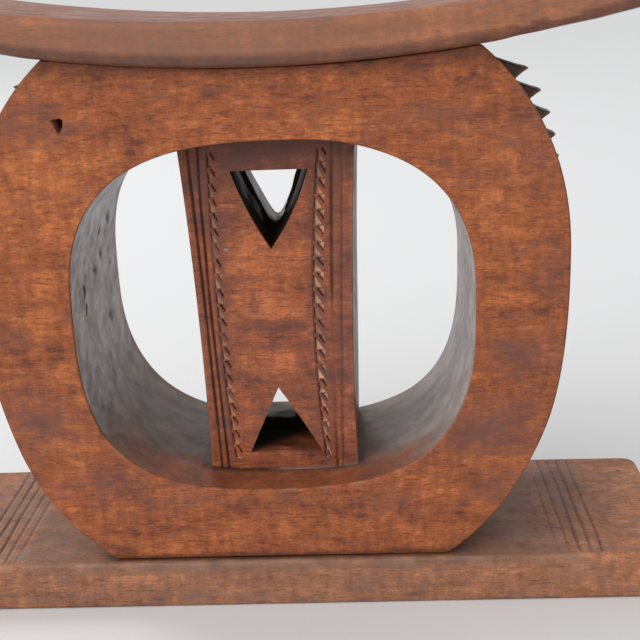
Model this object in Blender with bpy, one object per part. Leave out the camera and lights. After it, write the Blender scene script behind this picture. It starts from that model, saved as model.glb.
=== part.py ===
"""Carved wooden headrest: an O-shaped ring on a base board, with a pierced column inside the ring,
a toothed crest on each shoulder and a dished platform for the head.

Metres, +Z up, origin at the middle of the underside. +X runs along the width, and the front faces -Y.
"""

import math

import bmesh
import bpy

MM = 0.001
GAP = 0.3 * MM                      # clearance between two neighbouring members

# Base board
BASE_WIDTH = 225.0 * MM
BASE_DEPTH = 71.0 * MM
BASE_THICKNESS = 14.0 * MM
BASE_CORNER_RADIUS = 4.0 * MM
BASE_EDGE_ROUND = 1.0 * MM
BASE_GROOVE_COUNT = 5
BASE_GROOVE_FIRST = 77.5 * MM       # from the middle of the board
BASE_GROOVE_PITCH = 3.1 * MM
BASE_GROOVE_WIDTH = 1.2 * MM
BASE_GROOVE_DEPTH = 0.7 * MM

# Ring: heights are measured from the middle of the opening
RING_DEPTH = 66.0 * MM
OPENING_ABOVE_BASE = 69.0 * MM      # from the top of the base to the middle of the opening
OPENING_HALF_WIDTH = 54.5 * MM
OPENING_WIDEST_ABOVE_MIDDLE = 4.2 * MM
OPENING_REACH_UP = 44.8 * MM        # from its widest line to its roof
OPENING_REACH_DOWN = 52.4 * MM
OPENING_POWER_TOP = 2.65
OPENING_POWER_BOTTOM = 2.95
RING_HALF_WIDTH = 79.8 * MM
RING_WIDEST_ABOVE_MIDDLE = 16.0 * MM
RING_REACH_UP = 74.0 * MM
RING_REACH_DOWN = 97.0 * MM
RING_POWER_TOP = 2.2
RING_POWER_BOTTOM = 2.45
RING_SIDE_STEPS = 40
RING_FLAT_STEPS = 8
RING_EDGE_ROUND = 0.6 * MM

# Column: heights are measured from the middle of the opening
COLUMN_FRONT_RECESS = 14.5 * MM     # behind the front of the ring
COLUMN_BACK_RECESS = 3.0 * MM
COLUMN_HALF_WIDTH_MIDDLE = 22.2 * MM
COLUMN_TAPER = 0.036                # growth of the half width for each metre of height
COLUMN_END_STEPS = 8
COLUMN_GROOVES_LEFT = (2.1 * MM, 3.9 * MM)      # from the column's edge
COLUMN_GROOVES_RIGHT = (3.2 * MM, 6.1 * MM)
COLUMN_GROOVE_WIDTH = 0.7 * MM
COLUMN_GROOVE_DEPTH = 0.5 * MM
COLUMN_GROOVE_REACH = 60.0 * MM     # above and below the middle, past both ends of the column
UPPER_TRIANGLE = ((-11.0 * MM, 39.2 * MM), (0.0, 17.5 * MM), (11.0 * MM, 39.2 * MM))
LOWER_TRIANGLE = ((-10.3 * MM, -42.8 * MM), (10.3 * MM, -42.8 * MM), (0.0, -23.6 * MM))

# Head platform
PLATFORM_HALF_WIDTH = 118.0 * MM
PLATFORM_DEPTH = 72.0 * MM
PLATFORM_THICKNESS = 12.0 * MM
PLATFORM_END_THICKNESS = 9.0 * MM
PLATFORM_ABOVE_MIDDLE = 68.0 * MM   # from the middle of the opening to the lowest line of its underside
PLATFORM_BEND_RADIUS = 420.0 * MM
PLATFORM_STEPS = 32
PLATFORM_EDGE_ROUND = 1.6 * MM

# Toothed crests, on both shoulders of the ring
CREST_THICKNESS = 9.0 * MM
CREST_TOP = 65.8 * MM               # above the middle of the opening
CREST_TOOTH_PITCH = 6.15 * MM
CREST_TOOTH_COUNT = 7
CREST_TOOTH_TOP_HEIGHT = 7.2 * MM
CREST_TOOTH_BOTTOM_HEIGHT = 2.6 * MM
CREST_VALLEY_HEIGHT = 0.8 * MM
CREST_TONGUE = 1.6 * MM             # depth of the crest's tongue in the ring

# Tenons: half width, half depth and length
FOOT_TENON = (34.0 * MM, 20.0 * MM, 4.0 * MM)
HEAD_TENON = (36.0 * MM, 20.0 * MM, 4.0 * MM)
COLUMN_TENON = (12.0 * MM, 16.0 * MM, 4.0 * MM)
TENON_ROOT = 4.0 * MM               # how far a tenon is sunk in its own member before the two are joined

MIDDLE = BASE_THICKNESS + OPENING_ABOVE_BASE    # height of the opening's middle
COLUMN_FRONT = -RING_DEPTH / 2 + COLUMN_FRONT_RECESS
COLUMN_BACK = RING_DEPTH / 2 - COLUMN_BACK_RECESS


def clear_scene():
    for old in list(bpy.data.objects):
        bpy.data.objects.remove(old, do_unlink=True)


def wood(name, colour, roughness):
    material = bpy.data.materials.new(name)
    material.use_nodes = True
    shader = material.node_tree.nodes["Principled BSDF"]
    shader.inputs["Base Color"].default_value = (*colour, 1.0)
    shader.inputs["Roughness"].default_value = roughness
    shader.inputs["Metallic"].default_value = 0.0
    return material


def add_object(name, mesh_builder, material=None):
    """Turn a bmesh into an object whose faces point outwards."""
    bmesh.ops.recalc_face_normals(mesh_builder, faces=mesh_builder.faces)
    mesh = bpy.data.meshes.new(name)
    mesh_builder.to_mesh(mesh)
    mesh_builder.free()
    placed = bpy.data.objects.new(name, mesh)
    bpy.context.scene.collection.objects.link(placed)
    if material is not None:
        mesh.materials.append(material)
    return placed


def prism(name, outline, front, back, material=None):
    """Extrude a closed outline of (x, z) points from the plane y = front to y = back."""
    builder = bmesh.new()
    corners = [builder.verts.new((x, front, z)) for x, z in outline]
    face = builder.faces.new(corners)
    extruded = bmesh.ops.extrude_face_region(builder, geom=[face])
    moved = [item for item in extruded["geom"] if isinstance(item, bmesh.types.BMVert)]
    bmesh.ops.translate(builder, verts=moved, vec=(0.0, back - front, 0.0))
    return add_object(name, builder, material)


def block(name, low, high):
    """A box between two opposite corners, used to cut or to join."""
    outline = [(low[0], low[2]), (high[0], low[2]), (high[0], high[2]), (low[0], high[2])]
    return prism(name, outline, low[1], high[1])


def combine(target, tool, operation):
    """Cut the tool out of the target, or join it to the target."""
    tool.hide_render = True
    tool.display_type = 'WIRE'
    modifier = target.modifiers.new(tool.name, 'BOOLEAN')
    modifier.operation = operation
    modifier.solver = 'EXACT'
    modifier.object = tool


def round_edges(target, width, segments=2):
    modifier = target.modifiers.new("round_edges", 'BEVEL')
    modifier.width = width
    modifier.segments = segments
    modifier.limit_method = 'ANGLE'
    modifier.angle_limit = math.radians(40.0)


def shade_round(target):
    target.data.shade_smooth()
    target.data.set_sharp_from_angle(angle=math.radians(35.0))


def tenon_block(name, size, low, high, clearance=0.0):
    """A tenon's box, or with a clearance the mortise that it fits."""
    half_width = size[0] + clearance
    half_depth = size[1] + clearance
    return block(name, (-half_width, -half_depth, low), (half_width, half_depth, high))


def opening_edge(x, z):
    """The point of the opening's edge in the direction of (x, z), seen from the middle of its widest line."""
    rise = z - OPENING_WIDEST_ABOVE_MIDDLE
    power = OPENING_POWER_TOP if rise > 0.0 else OPENING_POWER_BOTTOM
    reach = OPENING_REACH_UP if rise > 0.0 else OPENING_REACH_DOWN
    scale = ((abs(x) / OPENING_HALF_WIDTH) ** power + (abs(rise) / reach) ** power) ** (-1.0 / power)
    return (x * scale, OPENING_WIDEST_ABOVE_MIDDLE + rise * scale)


def opening_height(x, side, shrink=0.0):
    """Height above the opening's middle of its roof (side is 1) or its floor (side is -1), at x."""
    power = OPENING_POWER_TOP if side > 0 else OPENING_POWER_BOTTOM
    reach = (OPENING_REACH_UP if side > 0 else OPENING_REACH_DOWN) - shrink
    wide = abs(x) / (OPENING_HALF_WIDTH - shrink)
    return OPENING_WIDEST_ABOVE_MIDDLE + side * reach * (1.0 - wide ** power) ** (1.0 / power)


def ring_side(z, grow=0.0):
    """Half width of the ring's outline at a height above the opening's middle."""
    rise = z - RING_WIDEST_ABOVE_MIDDLE
    power = RING_POWER_TOP if rise > 0.0 else RING_POWER_BOTTOM
    reach = (RING_REACH_UP if rise > 0.0 else RING_REACH_DOWN) + grow
    return (RING_HALF_WIDTH + grow) * (1.0 - (abs(rise) / reach) ** power) ** (1.0 / power)


def platform_underside(x):
    """Height of the platform's underside above the opening's middle: an arc, lowest at the middle."""
    drop = math.sqrt(PLATFORM_BEND_RADIUS ** 2 - x ** 2)
    return PLATFORM_ABOVE_MIDDLE + PLATFORM_BEND_RADIUS - drop


def ring_shoulder():
    """The height at which the ring's side meets the arc under the platform."""
    low = 0.0
    high = PLATFORM_ABOVE_MIDDLE + PLATFORM_THICKNESS
    for _ in range(40):
        middle = (low + high) / 2
        if middle < platform_underside(ring_side(middle)) - GAP:
            low = middle
        else:
            high = middle
    return low


def ring_outline():
    """The right half of the ring's outline, from the middle of its foot to the middle of its top."""
    foot = -OPENING_ABOVE_BASE + GAP
    shoulder = ring_shoulder()
    half = [(ring_side(foot) * step / RING_FLAT_STEPS, foot) for step in range(RING_FLAT_STEPS)]
    for step in range(RING_SIDE_STEPS + 1):
        turn = math.pi * step / RING_SIDE_STEPS
        z = foot + (shoulder - foot) * (1.0 - math.cos(turn)) / 2
        half.append((ring_side(z), z))
    top_width = half[-1][0]
    for step in range(1, RING_FLAT_STEPS + 1):
        x = top_width * (1.0 - step / RING_FLAT_STEPS)
        half.append((x, platform_underside(x) - GAP))
    return half


def make_ring(material):
    right = ring_outline()
    left = [(-x, z) for x, z in reversed(right[1:-1])]
    outer = right + left
    inner = [opening_edge(x, z) for x, z in outer]
    builder = bmesh.new()
    loops = []
    for points in (outer, inner):
        for y in (-RING_DEPTH / 2, RING_DEPTH / 2):
            loops.append([builder.verts.new((x, y, MIDDLE + z)) for x, z in points])
    outer_front, outer_back, inner_front, inner_back = loops
    pairs = ((outer_front, outer_back), (outer_back, inner_back),
             (inner_back, inner_front), (inner_front, outer_front))
    count = len(outer)
    for first, second in pairs:
        for index in range(count):
            following = (index + 1) % count
            builder.faces.new((first[index], first[following], second[following], second[index]))
    ring = add_object("ring_support", builder, material)
    round_edges(ring, RING_EDGE_ROUND)
    foot = BASE_THICKNESS + GAP
    combine(ring, tenon_block("ring_foot_tenon", FOOT_TENON, foot - FOOT_TENON[2], foot + TENON_ROOT), 'UNION')
    top = MIDDLE + PLATFORM_ABOVE_MIDDLE
    combine(ring, tenon_block("ring_head_tenon", HEAD_TENON, top - TENON_ROOT, top + HEAD_TENON[2]), 'UNION')
    for side in (-1, 1):
        cut = column_mortise(side)
        combine(ring, cut, 'DIFFERENCE')
        groove = crest_groove(side)
        combine(ring, groove, 'DIFFERENCE')
    shade_round(ring)
    return ring


def column_tenon_ends(side):
    """The lowest and highest point of the column's tenon: side is 1 at the roof and -1 at the floor."""
    surface = MIDDLE + opening_height(0.0, side)
    ends = (surface - side * TENON_ROOT, surface + side * COLUMN_TENON[2])
    return min(ends), max(ends)


def column_mortise(side):
    low, high = column_tenon_ends(side)
    name = "mortise_roof" if side > 0 else "mortise_floor"
    return tenon_block(name, COLUMN_TENON, low - GAP, high + GAP, GAP)


def column_half_width(z):
    return COLUMN_HALF_WIDTH_MIDDLE + COLUMN_TAPER * z


def column_end(side):
    """The points of the column's top or foot, left to right, which follow the opening's edge."""
    reach = column_half_width(opening_height(COLUMN_HALF_WIDTH_MIDDLE, side))
    points = []
    for step in range(COLUMN_END_STEPS + 1):
        x = reach * (2.0 * step / COLUMN_END_STEPS - 1.0)
        points.append((x, MIDDLE + opening_height(x, side, GAP)))
    return points


def column_groove(name, side, inset, front):
    """A V-shaped line cut along the column's edge, in its front or back face."""
    half_width = COLUMN_GROOVE_WIDTH / 2
    face = COLUMN_FRONT if front else COLUMN_BACK
    inward = 1.0 if front else -1.0
    outside = COLUMN_GROOVE_DEPTH
    builder = bmesh.new()
    ends = []
    for z in (-COLUMN_GROOVE_REACH, COLUMN_GROOVE_REACH):
        x = side * (column_half_width(z) - inset)
        corners = ((x - 2 * half_width, face - inward * outside),
                   (x + 2 * half_width, face - inward * outside),
                   (x, face + inward * COLUMN_GROOVE_DEPTH))
        ends.append([builder.verts.new((cx, cy, MIDDLE + z)) for cx, cy in corners])
    low, high = ends
    builder.faces.new(low)
    builder.faces.new(list(reversed(high)))
    for index in range(3):
        following = (index + 1) % 3
        builder.faces.new((low[index], low[following], high[following], high[index]))
    return add_object(name, builder)


def make_column(material):
    outline = column_end(-1) + list(reversed(column_end(1)))
    column = prism("central_column", outline, COLUMN_FRONT, COLUMN_BACK, material)
    for side, name in ((1, "column_roof_tenon"), (-1, "column_floor_tenon")):
        low, high = column_tenon_ends(side)
        combine(column, tenon_block(name, COLUMN_TENON, low, high), 'UNION')
    past_front = COLUMN_FRONT - RING_DEPTH
    past_back = COLUMN_BACK + RING_DEPTH
    for name, corners in (("upper_triangle", UPPER_TRIANGLE), ("lower_triangle", LOWER_TRIANGLE)):
        outline = [(x, MIDDLE + z) for x, z in corners]
        combine(column, prism(name, outline, past_front, past_back), 'DIFFERENCE')
    for front in (True, False):
        for side, insets in ((-1, COLUMN_GROOVES_LEFT), (1, COLUMN_GROOVES_RIGHT)):
            for number, inset in enumerate(insets):
                name = f"column_groove_{'front' if front else 'back'}_{'r' if side > 0 else 'l'}{number}"
                combine(column, column_groove(name, side, inset, front), 'DIFFERENCE')
    return column


def crest_tongue_outline(grow, low, high):
    """The crest's tongue in the ring: a band that follows the ring's side, on the right."""
    steps = 12
    inner = []
    for step in range(steps + 1):
        z = low + (high - low) * step / steps
        inner.append((ring_side(z, -CREST_TONGUE - grow), MIDDLE + z))
    return inner


def crest_low():
    return CREST_TOP - CREST_TOOTH_PITCH * CREST_TOOTH_COUNT


def crest_outline():
    """The right crest: its tongue on the inside, and its teeth on the outside, from top to bottom."""
    outline = crest_tongue_outline(0.0, crest_low(), CREST_TOP)
    outline.append((ring_side(CREST_TOP, CREST_VALLEY_HEIGHT), MIDDLE + CREST_TOP))
    for tooth in range(CREST_TOOTH_COUNT):
        share = tooth / (CREST_TOOTH_COUNT - 1)
        height = CREST_TOOTH_TOP_HEIGHT + (CREST_TOOTH_BOTTOM_HEIGHT - CREST_TOOTH_TOP_HEIGHT) * share
        tip = CREST_TOP - (tooth + 0.5) * CREST_TOOTH_PITCH
        valley = CREST_TOP - (tooth + 1) * CREST_TOOTH_PITCH
        outline.append((ring_side(tip) + height, MIDDLE + tip))
        outline.append((ring_side(valley, CREST_VALLEY_HEIGHT), MIDDLE + valley))
    return outline


def mirror_outline(outline, side):
    return [(side * x, z) for x, z in outline]


def crest_groove(side):
    """The groove in the ring that takes the crest's tongue."""
    low = crest_low() - GAP
    high = CREST_TOP + GAP
    outline = crest_tongue_outline(GAP, low, high)
    outside = RING_HALF_WIDTH + CREST_TOOTH_TOP_HEIGHT
    outline += [(outside, MIDDLE + high), (outside, MIDDLE + low)]
    half = CREST_THICKNESS / 2 + GAP
    name = "crest_groove_r" if side > 0 else "crest_groove_l"
    return prism(name, mirror_outline(outline, side), -half, half)


def make_crest(name, side, material):
    outline = mirror_outline(crest_outline(), side)
    return prism(name, outline, -CREST_THICKNESS / 2, CREST_THICKNESS / 2, material)


def platform_outline():
    bottom = []
    top = []
    for step in range(PLATFORM_STEPS + 1):
        share = 2.0 * step / PLATFORM_STEPS - 1.0
        x = PLATFORM_HALF_WIDTH * share
        z = MIDDLE + platform_underside(x)
        thickness = PLATFORM_THICKNESS + (PLATFORM_END_THICKNESS - PLATFORM_THICKNESS) * share ** 2
        bottom.append((x, z))
        top.append((x, z + thickness))
    return bottom + list(reversed(top))


def make_platform(material):
    platform = prism("head_platform", platform_outline(), -PLATFORM_DEPTH / 2, PLATFORM_DEPTH / 2, material)
    round_edges(platform, PLATFORM_EDGE_ROUND, 3)
    top = MIDDLE + PLATFORM_ABOVE_MIDDLE
    mortise = tenon_block("platform_mortise", HEAD_TENON, top - TENON_ROOT, top + HEAD_TENON[2] + GAP, GAP)
    combine(platform, mortise, 'DIFFERENCE')
    shade_round(platform)
    return platform


def rounded_rectangle(width, depth, radius, steps=6):
    corners = []
    centres = ((1, 1, 0.0), (-1, 1, 0.5), (-1, -1, 1.0), (1, -1, 1.5))
    for sign_x, sign_y, start in centres:
        for step in range(steps + 1):
            turn = math.pi * (start + 0.5 * step / steps)
            x = sign_x * (width / 2 - radius) + radius * math.cos(turn)
            y = sign_y * (depth / 2 - radius) + radius * math.sin(turn)
            corners.append((x, y))
    return corners


def base_groove(name, x):
    """A V-shaped line cut across the whole depth of the base's top."""
    half = BASE_GROOVE_WIDTH / 2
    top = BASE_THICKNESS
    outline = [(x - 2 * half, top + BASE_GROOVE_DEPTH), (x, top - BASE_GROOVE_DEPTH),
               (x + 2 * half, top + BASE_GROOVE_DEPTH)]
    return prism(name, outline, -BASE_DEPTH, BASE_DEPTH)


def make_base(material):
    builder = bmesh.new()
    corners = [builder.verts.new((x, y, 0.0)) for x, y in
               rounded_rectangle(BASE_WIDTH, BASE_DEPTH, BASE_CORNER_RADIUS)]
    face = builder.faces.new(corners)
    extruded = bmesh.ops.extrude_face_region(builder, geom=[face])
    moved = [item for item in extruded["geom"] if isinstance(item, bmesh.types.BMVert)]
    bmesh.ops.translate(builder, verts=moved, vec=(0.0, 0.0, BASE_THICKNESS))
    base = add_object("base_board", builder, material)
    round_edges(base, BASE_EDGE_ROUND)
    mortise_low = BASE_THICKNESS - FOOT_TENON[2]
    mortise = tenon_block("base_mortise", FOOT_TENON, mortise_low, BASE_THICKNESS + TENON_ROOT, GAP)
    combine(base, mortise, 'DIFFERENCE')
    for side in (-1, 1):
        for number in range(BASE_GROOVE_COUNT):
            x = side * (BASE_GROOVE_FIRST + number * BASE_GROOVE_PITCH)
            groove = base_groove(f"base_groove_{'r' if side > 0 else 'l'}{number}", x)
            combine(base, groove, 'DIFFERENCE')
    shade_round(base)
    return base


def build():
    clear_scene()
    body_wood = wood("ring_wood", (0.30, 0.115, 0.055), 0.45)
    column_wood = wood("column_wood", (0.24, 0.085, 0.045), 0.45)
    base_wood = wood("base_wood", (0.23, 0.12, 0.085), 0.5)
    platform_wood = wood("platform_wood", (0.28, 0.11, 0.055), 0.4)
    make_base(base_wood)
    make_ring(body_wood)
    make_column(column_wood)
    make_platform(platform_wood)
    make_crest("left_toothed_crest", -1, wood("left_crest_wood", (0.22, 0.085, 0.045), 0.5))
    make_crest("right_toothed_crest", 1, wood("right_crest_wood", (0.22, 0.085, 0.045), 0.5))


build()
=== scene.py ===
"""Looks for the carved wooden headrest: the hand-cut surfaces, the notches, the wood and the studio.

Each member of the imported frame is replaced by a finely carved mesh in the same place. Lengths are in metres.
"""
import math

import bmesh
import bpy
import numpy as np
from mathutils import Matrix, Vector


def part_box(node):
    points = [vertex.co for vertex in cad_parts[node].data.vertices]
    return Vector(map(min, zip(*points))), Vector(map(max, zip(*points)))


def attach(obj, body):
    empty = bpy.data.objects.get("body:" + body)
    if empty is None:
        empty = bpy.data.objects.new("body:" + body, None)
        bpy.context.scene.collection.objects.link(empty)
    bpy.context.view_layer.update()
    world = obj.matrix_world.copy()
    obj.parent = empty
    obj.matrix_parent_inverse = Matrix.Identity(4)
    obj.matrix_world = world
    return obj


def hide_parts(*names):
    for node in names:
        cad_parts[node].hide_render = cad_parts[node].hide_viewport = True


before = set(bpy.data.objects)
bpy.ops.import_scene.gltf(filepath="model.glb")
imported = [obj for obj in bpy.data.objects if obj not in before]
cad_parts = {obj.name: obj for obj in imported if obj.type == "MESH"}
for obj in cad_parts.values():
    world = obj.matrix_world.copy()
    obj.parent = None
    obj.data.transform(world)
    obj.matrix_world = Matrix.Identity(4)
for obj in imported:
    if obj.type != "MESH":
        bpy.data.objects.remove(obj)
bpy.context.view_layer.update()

MM = 0.001

BASE_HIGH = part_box("base_board")[1]
RING_LOW, RING_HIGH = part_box("ring_support")
COLUMN_LOW, COLUMN_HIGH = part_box("central_column")
PLATFORM_LOW, PLATFORM_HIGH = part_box("head_platform")
CREST_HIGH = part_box("right_toothed_crest")[1]

BASE_TOP = BASE_HIGH.z
MIDDLE = BASE_TOP + 69.0 * MM       # height of the middle of the ring's opening

# Ring, with heights from the middle of its opening
RING_FRONT = RING_LOW.y
RING_BACK = RING_HIGH.y
RING_HALF_WIDTH = RING_HIGH.x
RING_FOOT = BASE_TOP - MIDDLE
RING_WIDEST = 16.0 * MM
RING_REACH_UP = 74.0 * MM
RING_REACH_DOWN = 97.0 * MM
RING_POWER_TOP = 2.2
RING_POWER_BOTTOM = 2.45
RING_LEAN = 0.7 * MM            # how far its foot stands to the left
RING_STATIONS = 600
RING_OUTER_ROUND = 0.6 * MM
RING_INNER_ROUND = 0.7 * MM
RING_ROUND_STEPS = 5
RING_FRONT_STEPS = 17
RING_BACK_STEPS = 9
RING_WALL_STEPS = 100
RING_SIDE_STEPS = 24

# The opening's outline at the front and at the back of the ring, in mm from the middle: centre, reach to the
# left, right, top and bottom, then the roundness of its top right, top left, bottom left and bottom right
OPENING_FRONT = (0.93, 4.18, 55.18, 53.74, 44.86, 52.45, 2.63, 2.68, 3.10, 2.78)
OPENING_BACK = (1.04, 4.89, 55.34, 53.61, 43.71, 54.00, 2.23, 2.76, 2.72, 3.07)

# Column, with heights from the middle of the opening
COLUMN_FRONT = COLUMN_LOW.y
COLUMN_BACK = COLUMN_HIGH.y
COLUMN_SINK = 1.5 * MM          # how far its ends run into the ring
COLUMN_BOTTOM = -48.5           # where its lines start, in mm
COLUMN_TALL = 97.5
COLUMN_ROUND = 0.3 * MM
COLUMN_ROWS = 493
COLUMN_SIDE_STEPS = 18

# Platform
PLATFORM_BEND = 420.0 * MM
PLATFORM_FLOOR = PLATFORM_LOW.z
PLATFORM_THICKNESS = 12.0 * MM
PLATFORM_END_THICKNESS = 9.0 * MM


# ---------------------------------------------------------------- numbers

def lumps(points, size, seed):
    """Smooth noise from -1 to 1 at each of the points, with lumps about one size across."""
    table = np.random.RandomState(seed).uniform(-1.0, 1.0, 4096)
    scaled = np.asarray(points, float) / size
    cell = np.floor(scaled).astype(np.int64)
    part = scaled - cell
    part = part * part * (3.0 - 2.0 * part)
    total = np.zeros(len(scaled))
    for corner in range(8):
        offset = np.array([(corner >> axis) & 1 for axis in range(3)])
        index = cell + offset
        key = (index[:, 0] * 73856093) ^ (index[:, 1] * 19349663) ^ (index[:, 2] * 83492791)
        weight = np.prod(np.where(offset == 1, part, 1.0 - part), axis=1)
        total += table[key & 4095] * weight
    return total


def cloud(x, y, z):
    """The points of three grids, one to a row."""
    return np.column_stack([x.ravel(), y.ravel(), z.ravel()])


def line_lumps(place, size, seed):
    """Smooth noise along a line."""
    return lumps(cloud(place, 0 * place, 0 * place), size, seed)


def sheet_lumps(x, y, size, seed):
    """Smooth noise over a grid of points."""
    return lumps(cloud(x, y, 0 * x), size, seed).reshape(x.shape)


def held(value):
    """The value, kept between 0 and 1."""
    return np.clip(value, 0.0, 1.0)


def ease(value, low, high):
    """0 below low, 1 above high, and smooth between them."""
    part = held((np.asarray(value, float) - low) / (high - low))
    return part * part * (3.0 - 2.0 * part)


def scoops(along, across, length, width, tilt, seed):
    """The shallow bowls that a gouge leaves side by side: 0 on their ridges and 1 at their middles."""
    turned_along = (along * math.cos(tilt) + across * math.sin(tilt)) / length
    turned_across = (across * math.cos(tilt) - along * math.sin(tilt)) / width
    table = np.random.RandomState(seed).uniform(-0.38, 0.38, (4096, 2))
    cell_u = np.floor(turned_along).astype(np.int64)
    cell_v = np.floor(turned_across).astype(np.int64)
    nearest = np.full(turned_along.shape, 9.0)
    for step_u in (-1, 0, 1):
        for step_v in (-1, 0, 1):
            key = (((cell_u + step_u) * 73856093) ^ ((cell_v + step_v) * 19349663)) & 4095
            middle_u = cell_u + step_u + 0.5 + table[key, 0]
            middle_v = cell_v + step_v + 0.5 + table[key, 1]
            distance = (turned_along - middle_u) ** 2 + (turned_across - middle_v) ** 2
            nearest = np.minimum(nearest, distance)
    return held(1.0 - nearest * 1.25)


# ---------------------------------------------------------------- meshes

SHARP = 35.0        # edges that turn by more degrees than this stay sharp


def link(name, data):
    """Add an object with this data to the scene."""
    placed = bpy.data.objects.new(name, data)
    bpy.context.scene.collection.objects.link(placed)
    return placed


def add_mesh(name, vertices, faces, sharp=SHARP):
    """Add a mesh, smooth but for its sharp edges."""
    mesh = bpy.data.meshes.new(name)
    mesh.from_pydata(np.asarray(vertices).tolist(), [], [tuple(face) for face in faces])
    mesh.validate()
    mesh.update()
    mesh.shade_smooth()
    mesh.set_sharp_from_angle(angle=math.radians(sharp))
    return link(name, mesh)


def grid_faces(rows, columns, close_rows, close_columns, flip=False):
    """Quads over a grid of rows times columns points, joined round in either direction."""
    faces = []
    for row in range(rows if close_rows else rows - 1):
        below = (row + 1) % rows
        for column in range(columns if close_columns else columns - 1):
            beside = (column + 1) % columns
            quad = (row * columns + column, row * columns + beside,
                    below * columns + beside, below * columns + column)
            faces.append(quad[::-1] if flip else quad)
    return faces


def outward(placed):
    """Turn every face of a closed mesh outwards."""
    builder = bmesh.new()
    builder.from_mesh(placed.data)
    bmesh.ops.recalc_face_normals(builder, faces=builder.faces)
    builder.to_mesh(placed.data)
    builder.free()


def capped_tube(name, vertices, layers):
    """A closed mesh over layers of points, each layer a loop of the same length."""
    count = len(vertices) // layers
    faces = grid_faces(layers, count, False, True)
    faces.append(tuple(range(count)))
    faces.append(tuple(range(len(vertices) - 1, len(vertices) - 1 - count, -1)))
    tube = add_mesh(name, vertices, faces)
    outward(tube)
    return tube


def positions(placed):
    values = np.zeros(len(placed.data.vertices) * 3)
    placed.data.vertices.foreach_get("co", values)
    return values.reshape(-1, 3)


def paint(placed, name, values):
    """Store one number for each vertex, for the material to read."""
    layer = placed.data.attributes.new(name, 'FLOAT', 'POINT')
    layer.data.foreach_set("value", np.asarray(values, np.float32))


def cut(target, tool):
    """Cut the tool's shape out of the target's mesh, and remove the tool."""
    modifier = target.modifiers.new("cut", 'BOOLEAN')
    modifier.operation = 'DIFFERENCE'
    modifier.solver = 'EXACT'
    modifier.object = tool
    graph = bpy.context.evaluated_depsgraph_get()
    result = bpy.data.meshes.new_from_object(target.evaluated_get(graph))
    target.modifiers.clear()
    target.data = result
    bpy.data.objects.remove(tool, do_unlink=True)
    result.shade_smooth()
    result.set_sharp_from_angle(angle=math.radians(SHARP))


# ---------------------------------------------------------------- ring

def ring_side(z, grow=0.0):
    """Half width of the ring's outline at a height from the opening's middle."""
    rise = np.asarray(z, float) - RING_WIDEST
    reach = np.where(rise > 0.0, RING_REACH_UP, RING_REACH_DOWN) + grow
    power = np.where(rise > 0.0, RING_POWER_TOP, RING_POWER_BOTTOM)
    share = held(1.0 - (np.abs(rise) / reach) ** power)
    return (RING_HALF_WIDTH + grow) * share ** (1.0 / power)


def underside(x):
    """Height of the platform's underside, an arc."""
    return PLATFORM_FLOOR + PLATFORM_BEND - np.sqrt(PLATFORM_BEND ** 2 - np.asarray(x, float) ** 2)


def quadrant(profile, x, z):
    """The opening's reach across and up, and its roundness, on the sides where x and z point."""
    _, _, left, right, up, down, top_right, top_left, bottom_left, bottom_right = profile
    across = np.where(x > 0.0, right, left) * MM
    tall = np.where(z > 0.0, up, down) * MM
    top = np.where(x > 0.0, top_right, top_left)
    bottom = np.where(x > 0.0, bottom_right, bottom_left)
    return across, tall, np.where(z > 0.0, top, bottom)


def opening_edge(x, z, profile):
    """Points of the opening's edge in the directions of (x, z), seen from its centre."""
    x = x - profile[0] * MM
    z = z - profile[1] * MM
    across, tall, power = quadrant(profile, x, z)
    scale = ((np.abs(x) / across) ** power + (np.abs(z) / tall) ** power) ** (-1.0 / power)
    return np.stack([profile[0] * MM + x * scale, profile[1] * MM + z * scale], axis=-1)


def through_ring(y):
    """0 at the ring's front and 1 at its back."""
    return held((np.asarray(y, float) - RING_FRONT) / (RING_BACK - RING_FRONT))


def opening_level(x, y, side):
    """Height of the opening's roof (side is 1) or floor (side is -1) from the middle."""
    levels = []
    for profile in (OPENING_FRONT, OPENING_BACK):
        out = x - profile[0] * MM
        across, tall, power = quadrant(profile, out, np.full(np.shape(out), float(side)))
        wide = np.clip(np.abs(out) / across, 0.0, 0.999)
        levels.append(profile[1] * MM + side * tall * (1.0 - wide ** power) ** (1.0 / power))
    share = through_ring(y)
    return levels[0] * (1.0 - share) + levels[1] * share


def resample(points, count):
    """Spread count points evenly along a closed line."""
    closed = np.vstack([points, points[:1]])
    steps = np.linalg.norm(np.diff(closed, axis=0), axis=1)
    travelled = np.concatenate([[0.0], np.cumsum(steps)])
    wanted = np.linspace(0.0, travelled[-1], count, endpoint=False)
    return np.stack([np.interp(wanted, travelled, closed[:, axis]) for axis in (0, 1)], axis=1)


def ring_outline(count):
    """The ring's outline as evenly spread (x, z) points, clockwise from the middle of its top."""
    heights = np.linspace(0.0, 90.0 * MM, 2000)
    shoulder = heights[np.argmax(MIDDLE + heights > underside(ring_side(heights)))]
    top = [(x, float(underside(x)) - MIDDLE) for x in np.linspace(0.0, float(ring_side(shoulder)), 40)]
    turn = np.linspace(0.0, math.pi, 200)[1:]
    side_heights = shoulder + (RING_FOOT - shoulder) * (1.0 - np.cos(turn)) / 2
    side = list(zip(ring_side(side_heights), side_heights))
    foot = [(x, RING_FOOT) for x in np.linspace(side[-1][0], 0.0, 40)[1:]]
    right = np.array(top + side + foot)
    left = right[1:-1][::-1] * (-1.0, 1.0)
    outline = resample(np.vstack([right, left]), count)
    outline[:, 0] -= RING_LEAN * ease(-outline[:, 1], 25 * MM, 50 * MM)
    return outline


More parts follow.
